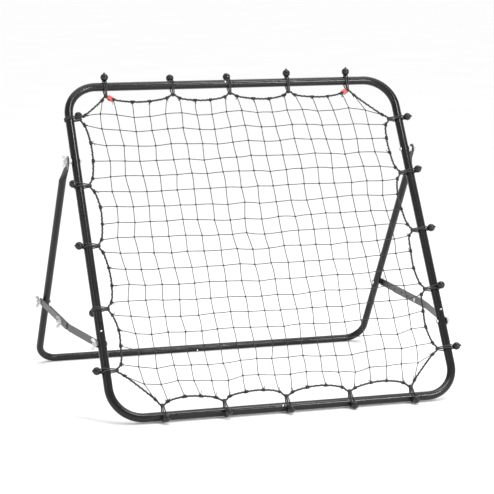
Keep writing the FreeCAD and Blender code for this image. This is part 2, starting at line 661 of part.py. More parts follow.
def belt(sketch, large, small, distance):
    """A taut outline round two circles: one at the origin and a smaller one below it."""
    big, little, gap = size(large), size(small), size(distance)
    tilt = math.asin((big - little) / gap)
    centres = (Vector(0, 0, 0), Vector(0, -gap, 0))
    first = len(sketch.Geometry)
    normal = Vector(0, 0, 1)
    top = Part.ArcOfCircle(Part.Circle(centres[0], normal, big), -tilt, math.pi + tilt)
    bottom = Part.ArcOfCircle(Part.Circle(centres[1], normal, little), math.pi + tilt,
                              2 * math.pi - tilt)
    sketch.addGeometry(top)
    sketch.addGeometry(Part.LineSegment(top.EndPoint, bottom.StartPoint))
    sketch.addGeometry(bottom)
    sketch.addGeometry(Part.LineSegment(bottom.EndPoint, top.StartPoint))
    for number in range(4):
        this, following = first + number, first + (number + 1) % 4
        sketch.addConstraint(Sketcher.Constraint("Tangent", this, 2, following, 1))
    pin_point(sketch, first, 3, "0", "0")
    pin_point(sketch, first + 2, 3, "0", f"-({distance})")
    bind(sketch, Sketcher.Constraint("Radius", first, big), large)
    bind(sketch, Sketcher.Constraint("Radius", first + 2, little), small)


def bungee(label, centre, out, along, turn):
    """An elastic loop round the tube and the border rope, and the ball that it hooks over."""
    front = Vector(0, -1, 0)
    loop = doc.addObject("PartDesign::Body", f"loop_of_{label}")
    turn_in_place = Rotation(front, out, front.cross(out), "ZXY")
    loop.Placement = FRONT_PLACE.multiply(Placement(centre, turn_in_place))
    sketch = new_sketch(loop, "XY_Plane")
    rope_hole = "(Dim.rope_diameter / 2 + Dim.rope_fit)"
    belt(sketch, LOOP_R, rope_hole, "Dim.rope_inset")
    belt(sketch, f"{LOOP_R} + Dim.cord_diameter", f"{rope_hole} + Dim.cord_diameter",
         "Dim.rope_inset")
    pad(loop, sketch, "Dim.strand_pair_width")
    ball = doc.addObject("Part::Sphere", f"ball_of_{label}")
    ball.setExpression("Radius", "Dim.ball_diameter / 2")
    angle = math.radians(turn)
    past_strand = max(0, abs(angle) - math.pi / 2 - BELT_TILT)
    distance = ball_rho / math.cos(past_strand)
    middle = centre + (out * math.cos(angle) + front * math.sin(angle)) * distance
    ball.Placement = Placement(FRONT_PLACE.multVec(middle), Rotation())
    group(label, [loop, ball])


# ---- border rope and net ---------------------------------------------------------------

def rope_route(places):
    """Corners of the rope's closed route, anticlockwise, and whether a bungee holds each."""
    order = {"bottom": 1, "right": 1, "top": -1, "left": -1}
    route = []
    flat = size("Dim.rope_flat / 2")
    depth = size("Dim.scallop_depth")
    for side in ("bottom", "right", "top", "left"):
        anchors = [(centre, out, along) for label, centre, out, along, _ in places
                   if label.startswith(f"bungee_{side}")][::order[side]]
        for number, (centre, out, along) in enumerate(anchors):
            way = along * order[side]
            anchor = centre - out * size("Dim.rope_inset")
            route.append((anchor - way * flat, True))
            route.append((anchor + way * flat, True))
            if number + 1 < len(anchors):
                run = anchors[number + 1][0] - centre
                for share in SCALLOP_SHARES:
                    route.append((anchor + run * share - out * depth, False))
    return route


def rounded_wire(route):
    """A closed wire of straight runs and tangent arcs. It is straight inside each bungee."""
    count = len(route)
    held_reach = size("(Dim.rope_flat - Dim.strand_pair_width) / 2 - Dim.rope_fit")
    arcs = []
    for number, (corner, held) in enumerate(route):
        before = route[number - 1][0] - corner
        after = route[(number + 1) % count][0] - corner
        turn = math.pi - before.getAngle(after)
        reach = held_reach if held else ARC_SHARE * min(before.Length, after.Length)
        radius = reach / math.tan(turn / 2)
        start = corner + before.normalize() * reach
        end = corner + after.normalize() * reach
        bisector = (before + after).normalize()
        middle = corner + bisector * (math.hypot(radius, reach) - radius)
        arcs.append((start, middle, end))
    edges = []
    for number, (start, middle, end) in enumerate(arcs):
        edges.append(Part.Arc(start, middle, end).toShape())
        edges.append(Part.LineSegment(end, arcs[(number + 1) % count][0]).toShape())
    return Part.Wire(edges)


def plain_part(label, shape, placement):
    """A part whose shape is worked out here instead of by the document's own features."""
    feature = doc.addObject("Part::Feature", label)
    feature.Label = label
    feature.Shape = shape
    feature.Placement = placement
    parts[label] = feature


def border_rope(places):
    wire = rounded_wire(rope_route(places))
    start = wire.Edges[1]
    middle = start.valueAt((start.FirstParameter + start.LastParameter) / 2)
    heading = start.tangentAt(start.FirstParameter)
    section = Part.Wire(Part.makeCircle(size("Dim.rope_diameter / 2"), middle, heading))
    edges = wire.Edges
    first = Part.LineSegment(middle, edges[1].lastVertex(True).Point).toShape()
    last = Part.LineSegment(edges[1].firstVertex(True).Point, middle).toShape()
    path = Part.Wire([first] + edges[2:] + edges[:1] + [last])
    shape = path.makePipeShell([section], True, True)
    section_area = math.pi * size("Dim.rope_diameter / 2") ** 2
    print("border rope length", round(wire.Length), "mm, volume ratio",
          round(shape.Volume / (section_area * wire.Length), 4))
    plain_part("border_rope", shape, FRONT_PLACE)


def net_panel(places):
    """The net's own area, inside the rope and clear of the loops that hold it."""
    thick = size("Dim.net_thickness")
    wire = rounded_wire(rope_route(places))
    inner = wire.makeOffset2D(-size("Dim.rope_diameter / 2 + Dim.rope_fit"))
    panel = Part.Face(inner).extrude(Vector(0, thick, 0))
    panel.translate(Vector(0, -thick / 2, 0))
    loop_depth = size("Dim.rope_diameter / 2 + Dim.rope_fit + Dim.cord_diameter")
    clear = math.hypot(loop_depth, size("Dim.strand_pair_width / 2")) + size("Dim.rope_fit")
    for _, centre, out, _, _ in places:
        anchor = centre - out * size("Dim.rope_inset")
        start = anchor - Vector(0, 2 * thick, 0)
        panel = panel.cut(Part.makeCylinder(clear, 4 * thick, start, Vector(0, 1, 0)))
    plain_part("net", panel.Solids[0], FRONT_PLACE)


# ---- assembly --------------------------------------------------------------------------

front_tubes()
rear_tubes()
snap_buttons()
hardware()
brace_strips()
bungees = bungee_places()
for bungee_place in bungees:
    bungee(*bungee_place)
border_rope(bungees)
net_panel(bungees)
doc.recompute()

for item in doc.Objects:
    if {"Invalid", "Error"} & set(item.State):
        raise ValueError(f"{item.Label} did not build: {item.State}")
for label, item in parts.items():
    if item.Shape.isNull() or not item.Shape.isValid():
        raise ValueError(f"{label} has no valid shape")

os.makedirs("parts", exist_ok=True)
for label, item in parts.items():
    item.Shape.exportStep(f"parts/{label}.step")
print(len(parts), "parts")
for name, place in (("hinge", hinge), ("front pivot", front_pivot), ("rear pivot", rear_pivot),
                    ("elbow", elbow), ("rear bar", rear_axis)):
    print(name, round(place.y, 3), round(place.z, 3))
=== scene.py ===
"""Looks of the pitch back rebounder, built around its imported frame. Metres, Z up.

The front frame's own directions are used throughout: u across, s up the slant and n out of
its front. The border rope, net, bungees and tags are modelled here; every other piece is
the CAD node with a procedural material.
"""
import json
import math

import bmesh
import bpy
import numpy as np
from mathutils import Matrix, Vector


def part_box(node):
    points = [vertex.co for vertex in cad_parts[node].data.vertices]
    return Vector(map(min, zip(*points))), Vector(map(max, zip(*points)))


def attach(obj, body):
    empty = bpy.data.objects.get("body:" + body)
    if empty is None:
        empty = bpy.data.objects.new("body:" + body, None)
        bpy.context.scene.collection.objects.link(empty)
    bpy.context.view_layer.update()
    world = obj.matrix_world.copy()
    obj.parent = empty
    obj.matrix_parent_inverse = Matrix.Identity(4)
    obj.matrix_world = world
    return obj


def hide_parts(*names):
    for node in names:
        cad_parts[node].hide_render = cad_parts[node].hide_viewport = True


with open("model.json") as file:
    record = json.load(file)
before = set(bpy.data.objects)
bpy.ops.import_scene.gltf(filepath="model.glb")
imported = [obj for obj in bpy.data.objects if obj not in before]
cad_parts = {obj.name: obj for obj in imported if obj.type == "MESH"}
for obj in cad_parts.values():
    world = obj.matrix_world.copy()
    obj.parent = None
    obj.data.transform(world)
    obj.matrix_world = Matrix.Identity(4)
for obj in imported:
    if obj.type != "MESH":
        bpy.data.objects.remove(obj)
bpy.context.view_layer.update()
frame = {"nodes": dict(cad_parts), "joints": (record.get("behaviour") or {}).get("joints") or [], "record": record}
NODES = frame["nodes"]
rng = np.random.default_rng(20)

# ---- sizes, in metres ------------------------------------------------------------------

FRONT_TUBE_R = 0.0115
CORD_R = 0.0017
CORD_FIT = 0.00005
ROPE_R = 0.0025
ROPE_FIT = 0.0003
ROPE_INSET = 0.028
BALL_R = 0.0105
TWINE_R = 0.00105

STRAND_SPREADS = (0.0020, 0.0031)   # of each bungee strand from the middle, on the tube
STRAND_PINCH = 0.0018       # the same where the two strands hold the rope
BALL_ONLY = 0.0044          # past this from the middle, a CAD bungee is all ball

SIDES = ("bottom", "right", "top", "left")
PER_SIDE = 5
CELLS = 18                  # strands of the net each way
TIE_SHARES = (0.10, 0.37, 0.64, 0.90)
TIE_SAGS = (0.0105, 0.0195, 0.0195, 0.0120)
CORNER_SHARES = (0.16, 0.84)
NET_BELLY = 0.006           # how far the net's middle hangs behind its plane
ROPE_BEARING = 0.0022       # half the flat of the rope in each bungee
TIE_SPREAD = 0.008          # unevenness of the ties, as a share of their span
SAG_SPREAD = 0.0009
CORNER_SAG = 0.0015
REST_SHARE = 0.90           # a net strand's slack length, as a share of the even mesh
REST_SPREAD = 0.075
EDGE_CELLS = 2.4            # how many more meshes the outline is wide than there are strands
RELAX_STEPS = 900
RELAX_PULL = 0.22


# ---- the front frame's own axes --------------------------------------------------------

def joint(name):
    return next(j for j in frame["joints"] if j["name"] == name)


FACING = -Vector(joint("front_snap_button_top_press")["axis"]).normalized()
ACROSS = Vector((1, 0, 0))
SLANT = FACING.cross(ACROSS)
AXES = np.array([ACROSS, SLANT, FACING])
lower_low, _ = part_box("front_tube_lower_left")
_, upper_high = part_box("front_tube_upper_left")
ORIGIN = np.array([0, lower_low.y + FRONT_TUBE_R, lower_low.z + FRONT_TUBE_R])
POST_U = -lower_low.x - FRONT_TUBE_R
TOP_S = (upper_high.z - FRONT_TUBE_R - ORIGIN[2]) / SLANT.z


def to_world(points):
    """Points given as u, s, n in the row frame."""
    return np.asarray(points, float) @ AXES + ORIGIN


def to_frame(points):
    return (np.asarray(points, float) - ORIGIN) @ AXES.T


def unit(vectors):
    return vectors / np.maximum(np.linalg.norm(vectors, axis=-1, keepdims=True), 1e-12)


def smooth_step(value):
    value = np.clip(value, 0, 1)
    return value * value * (3 - 2 * value)


# ---- mesh helpers ----------------------------------------------------------------------

class Mesh:
    """Gathers vertices, faces and UVs of one piece."""

    def __init__(self):
        self.points = []
        self.faces = []
        self.uvs = []
        self.count = 0

    def grid(self, rows, closed_along, closed_around, cap=False, along=None):
        """Adds a sheet of rows x columns points. UVs run along in metres and once around."""
        length, width, _ = rows.shape
        start = self.count
        self.points.append(rows.reshape(-1, 3))
        self.count += length * width
        steps = np.linalg.norm(np.diff(rows.mean(1), axis=0), axis=1)
        v = np.concatenate([[0], np.cumsum(steps)]) if along is None else along
        last_row = length if closed_along else length - 1
        last_column = width if closed_around else width - 1
        v_close = v[-1] + np.linalg.norm(rows[-1].mean(0) - rows[0].mean(0))
        for i in range(last_row):
            i2 = (i + 1) % length
            v2 = v_close if i2 == 0 else v[i2]
            for j in range(last_column):
                j2 = (j + 1) % width
                self.faces.append((start + i * width + j, start + i * width + j2,
                                   start + i2 * width + j2, start + i2 * width + j))
                u1, u2 = j / width, (j + 1) / width
                self.uvs += [(u1, v[i]), (u2, v[i]), (u2, v2), (u1, v2)]
        if cap:
            for row, ring in ((0, range(width - 1, -1, -1)), (length - 1, range(width))):
                self.faces.append(tuple(start + row * width + j for j in ring))
                self.uvs += [(0.5, v[row])] * width

    def tube(self, path, radius, sides=8, closed=False, cap=True):
        """A round tube along a path. The radius may be one number or one for each point."""
        path = np.asarray(path, float)
        if closed:
            tangents = unit(np.roll(path, -1, 0) - np.roll(path, 1, 0))
        else:
            tangents = unit(np.gradient(path, axis=0))
        normal = np.cross(tangents[0], (0.31, 0.52, 0.79))
        normals = np.empty_like(path)
        for i, tangent in enumerate(tangents):
            normal = normal - tangent * (normal @ tangent)
            normal = normal / np.linalg.norm(normal)
            normals[i] = normal
        binormals = np.cross(tangents, normals)
        if closed:
            # spreads the frame's closing twist over the whole loop
            end = normal - tangents[0] * (normal @ tangents[0])
            twist = math.atan2(end @ binormals[0], end @ normals[0])
            turn = -twist * np.arange(len(path)) / len(path)
            cos, sin = np.cos(turn)[:, None], np.sin(turn)[:, None]
            normals, binormals = normals * cos + binormals * sin, binormals * cos - normals * sin
        radii = np.broadcast_to(np.asarray(radius, float), len(path))[:, None, None]
        angles = np.linspace(0, 2 * math.pi, sides, endpoint=False)
        ring = (np.cos(angles)[None, :, None] * normals[:, None]
                + np.sin(angles)[None, :, None] * binormals[:, None])
        self.grid(path[:, None] + ring * radii, closed, True, cap and not closed)

    def build(self, name, material, body="front_frame"):
        data = bpy.data.meshes.new(name)
        data.from_pydata(np.concatenate(self.points).tolist(), [], self.faces)
        layer = data.uv_layers.new(name="UVMap")
        layer.data.foreach_set("uv", np.asarray(self.uvs, np.float32).ravel())
        data.polygons.foreach_set("use_smooth", [True] * len(data.polygons))
        data.materials.append(material)
        data.update()
        piece = bpy.data.objects.new(name, data)
        bpy.context.scene.collection.objects.link(piece)
        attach(piece, body)
        return piece


def curve_through(points, step, closed=False):
    """A centripetal Catmull-Rom curve through points, sampled about every step."""
    points = np.asarray(points, float)
    count = len(points)
    if closed:
        padded = np.vstack([points[-1], points, points[:2]])
        spans = count
    else:
        first = 2 * points[0] - points[1]
        last = 2 * points[-1] - points[-2]
        padded = np.vstack([first, points, last])
        spans = count - 1
    out = []
    for i in range(spans):
        p0, p1, p2, p3 = padded[i:i + 4]
        knots = [0.0]
        for a, b in ((p0, p1), (p1, p2), (p2, p3)):
            knots.append(knots[-1] + max(np.linalg.norm(b - a), 1e-9) ** 0.5)
        t0, t1, t2, t3 = knots
        pieces = max(1, int(math.ceil(np.linalg.norm(p2 - p1) / step)))
        t = np.linspace(t1, t2, pieces, endpoint=False)[:, None]
        a1 = (t1 - t) / (t1 - t0) * p0 + (t - t0) / (t1 - t0) * p1
        a2 = (t2 - t) / (t2 - t1) * p1 + (t - t1) / (t2 - t1) * p2
        a3 = (t3 - t) / (t3 - t2) * p2 + (t - t2) / (t3 - t2) * p3
        b1 = (t2 - t) / (t2 - t0) * a1 + (t - t0) / (t2 - t0) * a2
        b2 = (t3 - t) / (t3 - t1) * a2 + (t - t1) / (t3 - t1) * a3
        out.append((t2 - t) / (t2 - t1) * b1 + (t - t1) / (t2 - t1) * b2)
    if not closed:
        out.append(points[-1:])
    return np.vstack(out)


def evenly(path, step, closed=False):
    """The same path with points an even step apart."""
    path = np.vstack([path, path[:1]]) if closed else path
    lengths = np.concatenate([[0], np.cumsum(np.linalg.norm(np.diff(path, axis=0), axis=1))])
    count = max(2, int(round(lengths[-1] / step)))
    places = np.linspace(0, lengths[-1], count + 1)[:-1 if closed else None]
    return np.column_stack([np.interp(places, lengths, path[:, k]) for k in range(3)])


# ---- materials -------------------------------------------------------------------------

class Nodes:
    """A short way to write a material's node tree."""

    def __init__(self, name):
        self.material = bpy.data.materials.new(name)
        self.material.use_nodes = True
        self.tree = self.material.node_tree
        self.shader = self.tree.nodes["Principled BSDF"]

    def add(self, kind, inputs=None, **settings):
        node = self.tree.nodes.new(kind)
        for name, value in settings.items():
            setattr(node, name, value)
        for name, value in (inputs or {}).items():
            if isinstance(value, bpy.types.NodeSocket):
                self.tree.links.new(value, node.inputs[name])
            else:
                node.inputs[name].default_value = value
        return node

    def place(self, kind="Object", scale=(1, 1, 1)):
        """Object or UV coordinates, stretched."""
        source = self.add("ShaderNodeTexCoord").outputs[kind]
        return self.add("ShaderNodeMapping", {"Vector": source, "Scale": scale}).outputs[0]

    def noise(self, vector, scale, detail=3.0, roughness=0.55):
        settings = {"Vector": vector, "Scale": scale, "Detail": detail, "Roughness": roughness}
        return self.add("ShaderNodeTexNoise", settings).outputs["Fac"]

    def ramp(self, value, stops):
        """A colour ramp; each stop is a place and a grey level or a colour."""
        node = self.add("ShaderNodeValToRGB", {"Fac": value})
        elements = node.color_ramp.elements
        while len(elements) < len(stops):
            elements.new(0.5)
        for element, (place, colour) in zip(elements, stops):
            element.position = place
            levels = colour if isinstance(colour, tuple) else (colour,) * 3
            element.color = (*levels, 1)
        return node.outputs["Color"]

    def spread(self, value, low, high):
        """A value from 0 to 1 stretched to run from low to high."""
        inputs = {"Value": value, "To Min": low, "To Max": high}
        return self.add("ShaderNodeMapRange", inputs).outputs["Result"]

    def maths(self, operation, first, second):
        node = self.add("ShaderNodeMath", operation=operation)
        for socket, value in zip(node.inputs, (first, second)):
            if isinstance(value, bpy.types.NodeSocket):
                self.tree.links.new(value, socket)
            else:
                socket.default_value = value
        return node.outputs[0]

    def bump(self, height, distance, strength=1.0, normal=None):
        inputs = {"Height": height, "Distance": distance, "Strength": strength}
        if normal is not None:
            inputs["Normal"] = normal
        return self.add("ShaderNodeBump", inputs).outputs["Normal"]

    def set(self, **inputs):
        """Sets or links the shader's own sockets, named with underscores for spaces."""
        for name, value in inputs.items():
            socket = self.shader.inputs[name.replace("_", " ")]
            if isinstance(value, bpy.types.NodeSocket):
                self.tree.links.new(value, socket)
            elif socket.type == "RGBA":
                socket.default_value = (*value, 1)
            else:
                socket.default_value = value
        return self.material


def powder_coat():
    """Gloss black powder coat: fine orange peel, a few dull patches and settled dust."""
    m = Nodes("powder_coat")
    place = m.place()
    patches = m.noise(place, 9.0, 4.0)
    peel = m.noise(place, 620.0, 2.0)
    pits = m.noise(place, 2600.0, 1.0)
    colour = m.ramp(patches, [(0.3, (0.0065, 0.0065, 0.0070)), (0.7, (0.0115, 0.0115, 0.0120))])
    rough = m.spread(m.noise(place, 46.0, 5.0), 0.16, 0.25)
    normal = m.bump(pits, 0.00004, 0.5, m.bump(peel, 0.00012, 0.6))
    return m.set(Base_Color=colour, Roughness=rough, Normal=normal, Specular_IOR_Level=0.34)


def moulded_ball():
    """Gloss moulded black plastic with faint flow marks."""
    m = Nodes("moulded_ball")
    place = m.place()
    flow = m.noise(m.place(scale=(1, 1, 0.35)), 120.0, 4.0)
    colour = m.ramp(flow, [(0.3, (0.005, 0.005, 0.0055)), (0.75, (0.012, 0.012, 0.0125))])
    rough = m.spread(m.noise(place, 300.0, 3.0), 0.12, 0.24)
    normal = m.bump(m.noise(place, 900.0, 2.0), 0.00006, 0.5)
    return m.set(Base_Color=colour, Roughness=rough, Normal=normal, Specular_IOR_Level=0.45)


def braided_cord(name, turns, pitch, light, dark):
    """A braided sheath: two families of slanting yarns that pass over each other, with painted shade in the
    hollows between them.
    """
    m = Nodes(name)
    uv = m.add("ShaderNodeSeparateXYZ", {"Vector": m.place("UV")})
    around = m.maths("MULTIPLY", uv.outputs["X"], 2 * math.pi * turns)
    along = m.maths("MULTIPLY", uv.outputs["Y"], 2 * math.pi / pitch)
    one = m.maths("SINE", m.maths("ADD", around, along), 0.0)
    other = m.maths("SINE", m.maths("SUBTRACT", around, along), 0.0)
    weave = m.maths("MULTIPLY_ADD", m.maths("MULTIPLY", one, other), 0.5)
    weave.node.inputs[2].default_value = 0.5
    fibres = m.noise(m.place(), 2400.0, 3.0)
    height = m.maths("ADD", weave, m.maths("MULTIPLY", fibres, 0.35))
    # painted shade: the colour follows the weave's height, darker in the hollows between the yarns and lighter on
    # their crests
    colour = m.ramp(height, [(0.2, dark), (1.0, light)])
    rough = m.spread(fibres, 0.55, 0.85)
    return m.set(Base_Color=colour, Roughness=rough, Normal=m.bump(height, 0.0002, 0.8),
                 Sheen_Weight=0.25, Sheen_Roughness=0.4)


def twisted_fibre(name, light, dark, sheen):
    """Yarn of fine fibres that run at a slant round the strand, with painted shade in the hollows between the
    fibres.
    """
    m = Nodes(name)
    uv = m.add("ShaderNodeSeparateXYZ", {"Vector": m.place("UV")})
    around = m.maths("MULTIPLY", uv.outputs["X"], 2 * math.pi * 7)
    along = m.maths("MULTIPLY", uv.outputs["Y"], 2 * math.pi / 0.004)
    lines = m.maths("SINE", m.maths("ADD", around, along), 0.0)
    fuzz = m.noise(m.place(), 1800.0, 4.0)
    height = m.maths("ADD", m.maths("MULTIPLY", lines, 0.3), fuzz)
    patches = m.noise(m.place(), 30.0, 3.0)
    # random patches together with painted shade: darker in the hollows of the fibre lines and fuzz, lighter on
    # their tops
    colour = m.ramp(m.maths("MULTIPLY", height, patches), [(0.1, dark), (0.7, light)])
    return m.set(Base_Color=colour, Roughness=m.spread(fuzz, 0.6, 0.9),
                 Normal=m.bump(height, 0.00018, 0.8), Sheen_Weight=sheen, Sheen_Roughness=0.5)


def plated_steel(name, light, dark, low, high, stretch=(1, 1, 1)):
    """Bare or plated metal with fine scratches and a mottled finish."""
    m = Nodes(name)
    place = m.place()
    mottle = m.noise(place, 160.0, 4.0)
    lines = m.noise(m.place(scale=stretch), 700.0, 3.0, 0.7)
    colour = m.ramp(m.maths("ADD", m.maths("MULTIPLY", mottle, 0.6),
                            m.maths("MULTIPLY", lines, 0.4)), [(0.3, dark), (0.7, light)])
    rough = m.spread(mottle, low, high)
    normal = m.bump(lines, 0.00005, 0.5, m.bump(mottle, 0.00008, 0.3))
    return m.set(Base_Color=colour, Metallic=1.0, Roughness=rough, Normal=normal)


def moulded_nylon(name, light, dark):
    m = Nodes(name)
    place = m.place()
    colour = m.ramp(m.noise(place, 90.0, 4.0), [(0.3, dark), (0.7, light)])
    grain = m.noise(place, 1500.0, 2.0)
    return m.set(Base_Color=colour, Roughness=m.spread(grain, 0.42, 0.6),
                 Normal=m.bump(grain, 0.00006, 0.6))


def woven_tag():
    """Red ribbon weave, painted paler where the threads stand up and darker between them, as light and shade of
    the weave.
    """
    m = Nodes("woven_tag")
    uv = m.add("ShaderNodeSeparateXYZ", {"Vector": m.place("UV")})
    warp = m.maths("SINE", m.maths("MULTIPLY", uv.outputs["X"], 2 * math.pi * 22), 0.0)
    weft = m.maths("SINE", m.maths("MULTIPLY", uv.outputs["Y"], 2 * math.pi / 0.0006), 0.0)
    weave = m.maths("MULTIPLY_ADD", m.maths("MULTIPLY", warp, weft), 0.5)
    weave.node.inputs[2].default_value = 0.5
    # painted highlight and shade of the weave: paler on the raised threads and darker between them, mixed with
    # random noise
    colour = m.ramp(m.maths("ADD", m.maths("MULTIPLY", weave, 0.5),
                            m.maths("MULTIPLY", m.noise(m.place(), 400.0), 0.5)),
                    [(0.2, (0.55, 0.03, 0.025)), (0.8, (0.85, 0.16, 0.13))])
    return m.set(Base_Color=colour, Roughness=0.7, Normal=m.bump(weave, 0.0001, 0.7),
                 Sheen_Weight=0.4)


def pale_floor():
    m = Nodes("pale_floor")
    tone = m.noise(m.place(), 1.6, 2.0)
    colour = m.ramp(tone, [(0.3, 0.955), (0.7, 0.975)])
    return m.set(Base_Color=colour, Roughness=0.9, Specular_IOR_Level=0.1)


coat = powder_coat()
ball_plastic = moulded_ball()
elastic = braided_cord("elastic_sheath", 8, 0.0034, (0.040, 0.040, 0.042), (0.006, 0.006, 0.006))
rope_yarn = twisted_fibre("rope_yarn", (0.040, 0.039, 0.038), (0.007, 0.007, 0.007), 0.3)
twine_yarn = twisted_fibre("twine_yarn", (0.034, 0.033, 0.033), (0.008, 0.008, 0.008), 0.15)
CAD_FINISHES = {
    "tube_coat": coat,
    "snap_steel": plated_steel("snap_steel", (0.80, 0.80, 0.81), (0.62, 0.62, 0.63), 0.14, 0.26),
    "spring_steel": plated_steel("spring_steel", (0.40, 0.40, 0.41), (0.26, 0.26, 0.27), 0.3, 0.5),
    "bright_zinc": plated_steel("bright_zinc", (0.72, 0.72, 0.71), (0.50, 0.50, 0.50), 0.28, 0.46),
    "bolt_zinc": plated_steel("bolt_zinc", (0.68, 0.68, 0.67), (0.45, 0.45, 0.45), 0.28, 0.45),
    "white_spacer": moulded_nylon("white_nylon", (0.84, 0.84, 0.83), (0.74, 0.74, 0.73)),
    "black_spacer": moulded_nylon("black_nylon", (0.035, 0.035, 0.035), (0.02, 0.02, 0.02)),
    "strip_steel": plated_steel("strip_steel", (0.165, 0.162, 0.158), (0.105, 0.102, 0.10),
                                0.36, 0.55, (1, 0.02, 1)),
}


def finish_cad_nodes():
    slots = {part["node"]: part["material_slot"] for part in frame["record"]["subparts"]}
    for name, node in NODES.items():
        finish = CAD_FINISHES.get(slots[name])
        if finish is not None:
            node.data.materials.clear()
            node.data.materials.append(finish)


# ---- where the bungees are -------------------------------------------------------------

def tube_of(side):
    """Outward direction, along direction and the tube axis' outward distance, in u, s, n."""
    return {
        "top": ((0, 1, 0), (1, 0, 0), TOP_S),
        "bottom": ((0, -1, 0), (1, 0, 0), 0.0),
        "left": ((-1, 0, 0), (0, 1, 0), POST_U),
        "right": ((1, 0, 0), (0, 1, 0), POST_U),
    }[side]


class Bungee:
    """Reads one bungee's place along its tube and its ball's centre from its CAD node."""

    def __init__(self, side, number):
        self.node = f"bungee_{side}_{number}"
        out, along, reach = (np.array(v, float) for v in tube_of(side))
        self.out, self.along, self.front = out, along, np.array((0.0, 0.0, 1.0))
        points = to_frame([v.co for v in NODES[self.node].data.vertices])
        steps = points @ along
        middle = (steps.min() + steps.max()) / 2
        self.centre = out * reach + along * middle
        ball = points[np.abs(steps - middle) > BALL_ONLY]
        self.ball = (ball.min(0) + ball.max(0)) / 2
        self.anchor = self.centre - out * ROPE_INSET

    def at(self, outward, forward, sideways):
        """Points in u, s, n from distances outward, to the front and along the tube."""
        return (self.centre + np.outer(outward, self.out) + np.outer(forward, self.front)
                + np.outer(sideways, self.along))


BUNGEES = {side: [Bungee(side, n + 1) for n in range(PER_SIDE)] for side in SIDES}


# ---- bungee cords and balls ------------------------------------------------------------

BELT_TUBE_R = FRONT_TUBE_R + CORD_FIT + CORD_R
BELT_ROPE_R = ROPE_R + ROPE_FIT + CORD_R
BELT_TURN = math.acos((BELT_TUBE_R - BELT_ROPE_R) / ROPE_INSET)
BALL_LIFT = BALL_R + CORD_FIT + CORD_R


BELT_STEP = 0.0008


def belt_loop(step=BELT_STEP):
    """The taut line round the tube and the rope: outward and front distances and normals."""
    front_turn = math.pi - BELT_TURN
    tube_angles = np.arange(front_turn, -front_turn, -step / BELT_TUBE_R)
    rope_angles = np.arange(-front_turn, front_turn - 2 * math.pi, -step / BELT_ROPE_R)
    run = math.sqrt(ROPE_INSET ** 2 - (BELT_TUBE_R - BELT_ROPE_R) ** 2)
    straight = np.linspace(0, 1, int(run / step), endpoint=False)[1:, None]
    points, normals = [], []

    def arc(angles, centre, radius):
        normal = np.column_stack([np.cos(angles), np.sin(angles)])
        points.append(normal * radius + (centre, 0))
        normals.append(normal)

    def line(angle):
        normal = np.array([[math.cos(angle), math.sin(angle)]])
        start, end = points[-1][-1], normal * BELT_ROPE_R + (-ROPE_INSET, 0)
        if angle > 0:
            end = normal * BELT_TUBE_R
        points.append(start + (end - start) * straight)
        normals.append(np.repeat(normal, len(straight), 0))

    arc(tube_angles, 0.0, BELT_TUBE_R)
    line(-front_turn)
    arc(rope_angles, -ROPE_INSET, BELT_ROPE_R)
    line(front_turn)
    return np.vstack(points), np.vstack(normals)


BELT, BELT_NORMALS = belt_loop()
BELT_STEPS = np.concatenate([[0], np.cumsum(np.linalg.norm(
    np.diff(np.vstack([BELT, BELT[:1]]), axis=0), axis=1))])
BELT_LENGTH = BELT_STEPS[-1]


def belt_at(place):
    """Points and normals of the belt at distances along it, wrapped round."""
    place = np.mod(place, BELT_LENGTH)
    closed = np.vstack([BELT, BELT[:1]])
    normals = np.vstack([BELT_NORMALS, BELT_NORMALS[:1]])
    point = np.column_stack([np.interp(place, BELT_STEPS, closed[:, k]) for k in range(2)])
    normal = np.column_stack([np.interp(place, BELT_STEPS, normals[:, k]) for k in range(2)])
    return point, unit(normal)


# One strand of a bungee from inside the ball, round the back to the rope and over the front
# to the hook behind the ball's neck: place along the belt, sideways and lift off the belt.
NECK = [(-0.0006, 0.0014, 0.0110), (-0.0004, 0.0015, 0.0060), (0.0006, 0.0017, 0.0026),
        (0.0028, 0.0021, 0.0006), (0.0062, 0.0026, 0.0)]
HOOK = [(-0.0140, 0.0032, 0.0), (-0.0085, 0.0038, 0.0002), (-0.0040, 0.0048, 0.0006),
        (0.0, 0.0053, 0.0012), (0.0034, 0.0044, 0.0026), (0.0054, 0.0024, 0.0036)]
HOOK_END = (0.0062, 0.0, 0.0038)
CORD_STEP = 0.0013
NECK_END = 0.0095           # where the neck's points give way to even ones, along the belt
HOOK_START = 0.0170         # and where the hook's points take over, before a full round
EVEN_STEP = 0.003


def ball_foot(bungee):
    """The belt point that the ball sits on."""
    ball = bungee.ball - bungee.centre
    target = np.array([ball @ bungee.out, ball @ bungee.front])
    off = np.linalg.norm(BELT + BELT_NORMALS * BALL_LIFT - target, axis=1)
    return int(np.argmin(off))


def bungee_cord(bungee):
    """The elastic: two strands side by side that meet in the hook. Its ends are in the ball."""
    start = BELT_STEPS[ball_foot(bungee)]
    middle = np.arange(NECK_END, BELT_LENGTH - HOOK_START, EVEN_STEP)
    point, _ = belt_at(start + middle)
    share = smooth_step((point[:, 0] + ROPE_INSET) / (ROPE_INSET - FRONT_TUBE_R / 2))
    sideways = STRAND_PINCH + (rng.uniform(*STRAND_SPREADS) - STRAND_PINCH) * share
    run = NECK + list(zip(middle, sideways, np.zeros(len(middle))))
    run += [(BELT_LENGTH + place, side, lift) for place, side, lift in HOOK]
    mirrored = [(place, -side, lift) for place, side, lift in run]
    end = (BELT_LENGTH + HOOK_END[0], HOOK_END[1], HOOK_END[2])
    whole = np.array(run + [end] + mirrored[::-1])
    point, normal = belt_at(start + whole[:, 0])
    flat = point + normal * whole[:, 2:3]
    return evenly(curve_through(bungee.at(flat[:, 0], flat[:, 1], whole[:, 1]), CORD_STEP),
                  CORD_STEP)


KNOT_POINTS = 22
KNOT_LOOP = 1.6
KNOT_RISE = 1.3


